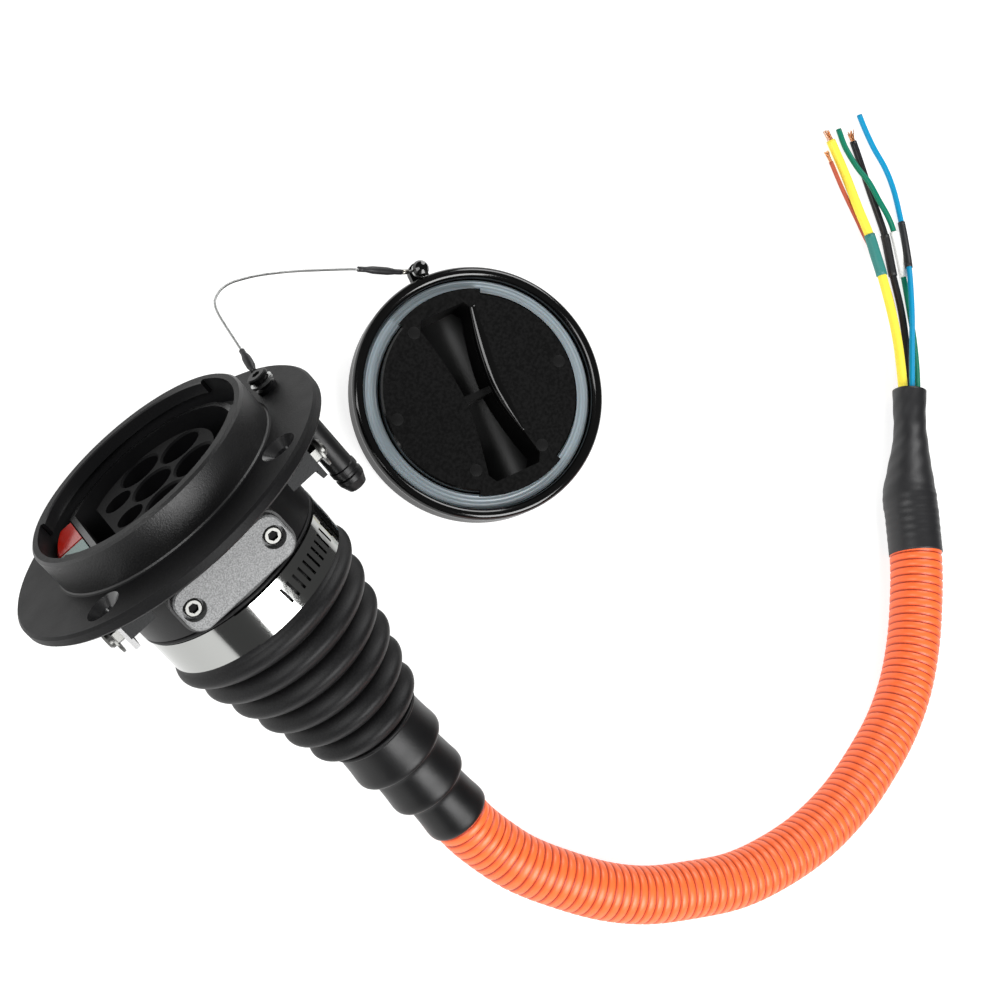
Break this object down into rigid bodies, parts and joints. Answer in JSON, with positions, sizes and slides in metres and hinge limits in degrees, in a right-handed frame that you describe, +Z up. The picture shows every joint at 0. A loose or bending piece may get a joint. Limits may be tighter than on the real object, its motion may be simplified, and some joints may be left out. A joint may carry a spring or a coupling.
{
  "type": "charge port inlet",
  "caption": "Vehicle charging inlet lying on its side: bolted round flange with bayonet collar, keyed contact socket, bellows boot, orange conduit with loose wires, and a tethered cap.",
  "frame": {"origin": "centre of the bolt circle on the flange's front face", "axes": "+Z up from the floor it lies on; +Y level, the way the inlet's rear end points; +X level, away from the cap"},
  "size_m": [0.4119, 0.3063, 0.1112],
  "materials": {
    "flange_black": "fine moulded texture",
    "housing_black": "satin moulded",
    "insert_black": "satin moulded",
    "contact_metal": "silver plated",
    "lens_red": "translucent gloss",
    "lens_green": "translucent gloss",
    "screw_steel": "turned",
    "boot_rubber": "satin rubber",
    "clamp_steel": "rolled bright",
    "tether_steel": "stranded",
    "shrink_black": "matt shrink sleeve",
    "cap_black": "gloss moulded",
    "seal_pale": "translucent silicone",
    "conduit_orange": "ribbed, satin",
    "wire_yellow": "satin",
    "wire_black": "satin",
    "wire_brown": "satin",
    "wire_green": "satin",
    "wire_blue": "satin",
    "marker_sleeve": "matt printed sleeve",
    "copper": "stranded copper"
  },
  "bodies": {
    "inlet": {"flange": "flange_black", "housing": "housing_black", "contact_insert": "insert_black", "power_contacts": "contact_metal", "signal_contacts": "contact_metal", "red_lens": "lens_red", "green_lens": "lens_green", "side_cover": "housing_black", "side_cover_screws": "screw_steel", "boot": "boot_rubber", "clamp_band": "clamp_steel", "clamp_housing": "clamp_steel", "drain_nozzle": "flange_black", "bracket_bolts": "screw_steel", "bracket_washers": "screw_steel", "bracket_nuts": "screw_steel", "tether_post": "housing_black", "tether_loops": "tether_steel", "tether_sleeves": "shrink_black", "tether_wire": "tether_steel", "conduit": "conduit_orange", "heat_shrink": "shrink_black", "wire_yellow": "wire_yellow", "wire_black": "wire_black", "wire_brown": "wire_brown", "wire_green": "wire_green", "wire_blue": "wire_blue", "wire_markers": "marker_sleeve", "copper_ends": "copper"},
    "cap": {"cap_shell": "cap_black", "cap_seal": "seal_pale", "cap_pin": "cap_black"},
    "clamp_screw": {"clamp_screw": "screw_steel"}
  },
  "joints": [
    {"name": "cap_swivel", "type": "hinge", "parent": "inlet", "child": "cap", "pos_m": [-0.14308, 0.02436, -0.03657], "axis": [0, 0, 1], "range_deg": [-25, 90]},
    {"name": "clamp_screw_turn", "type": "hinge", "parent": "inlet", "child": "clamp_screw", "pos_m": [-0.01589, 0.02605, -0.04286], "axis": [0.9063, -0.1158, -0.4064], "continuous": true}
  ]
}
